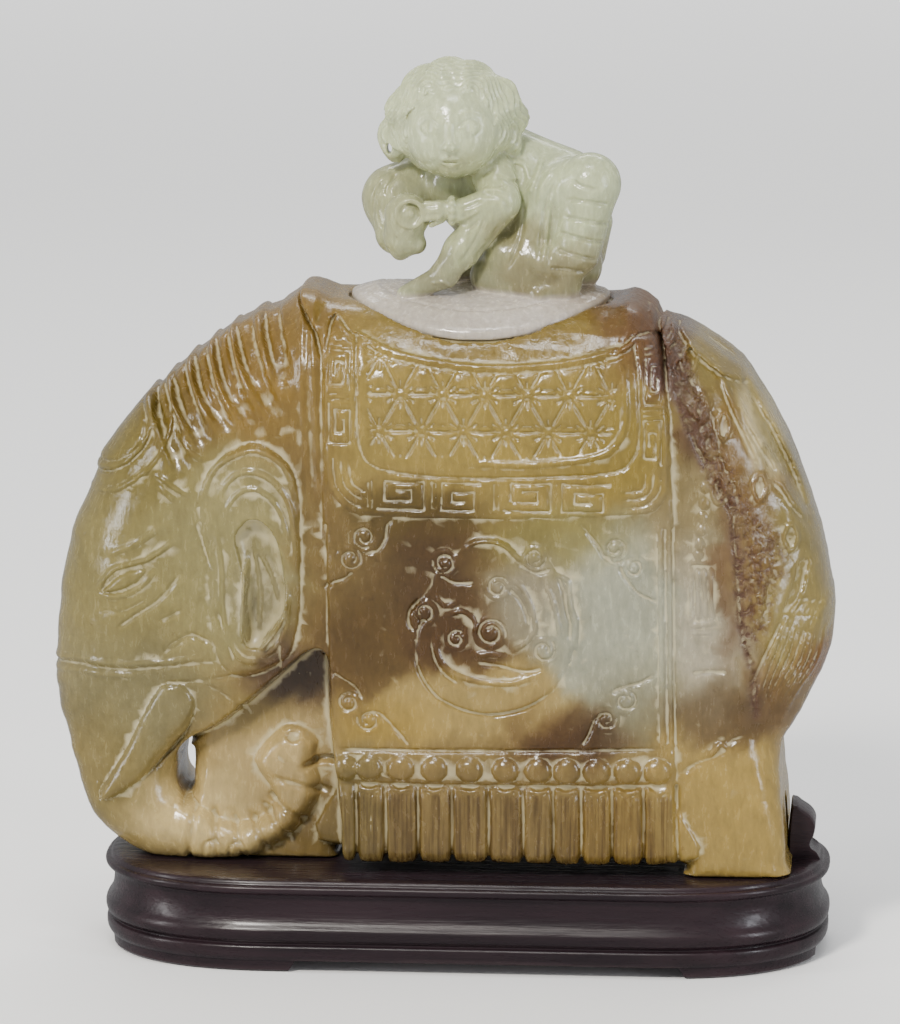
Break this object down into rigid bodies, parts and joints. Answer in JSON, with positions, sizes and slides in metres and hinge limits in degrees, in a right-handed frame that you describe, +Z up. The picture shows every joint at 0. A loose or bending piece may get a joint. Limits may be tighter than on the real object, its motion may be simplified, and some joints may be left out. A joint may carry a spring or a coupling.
{
  "type": "carved jade elephant vessel",
  "caption": "Standing elephant carved hollow from mottled jade, with a saddle cloth, an oval lid that carries a crouching boy, and a dark wood stand",
  "frame": {"origin": "Middle of the bounding box of vessel, lid and stand, at the level that the stand's feet rest on", "axes": "+X from the trunk to the tail, +Y towards the far side, so -Y is the side seen in the picture, +Z up"},
  "size_m": [0.1518, 0.064, 0.1743],
  "materials": {
    "mottled_jade": "polished ochre and grey-green jade",
    "pale_jade": "polished pale grey-green jade",
    "dark_wood": "polished dark hardwood"
  },
  "bodies": {
    "root": {"vessel": "mottled_jade", "lid": "pale_jade", "stand": "dark_wood"}
  },
  "joints": []
}
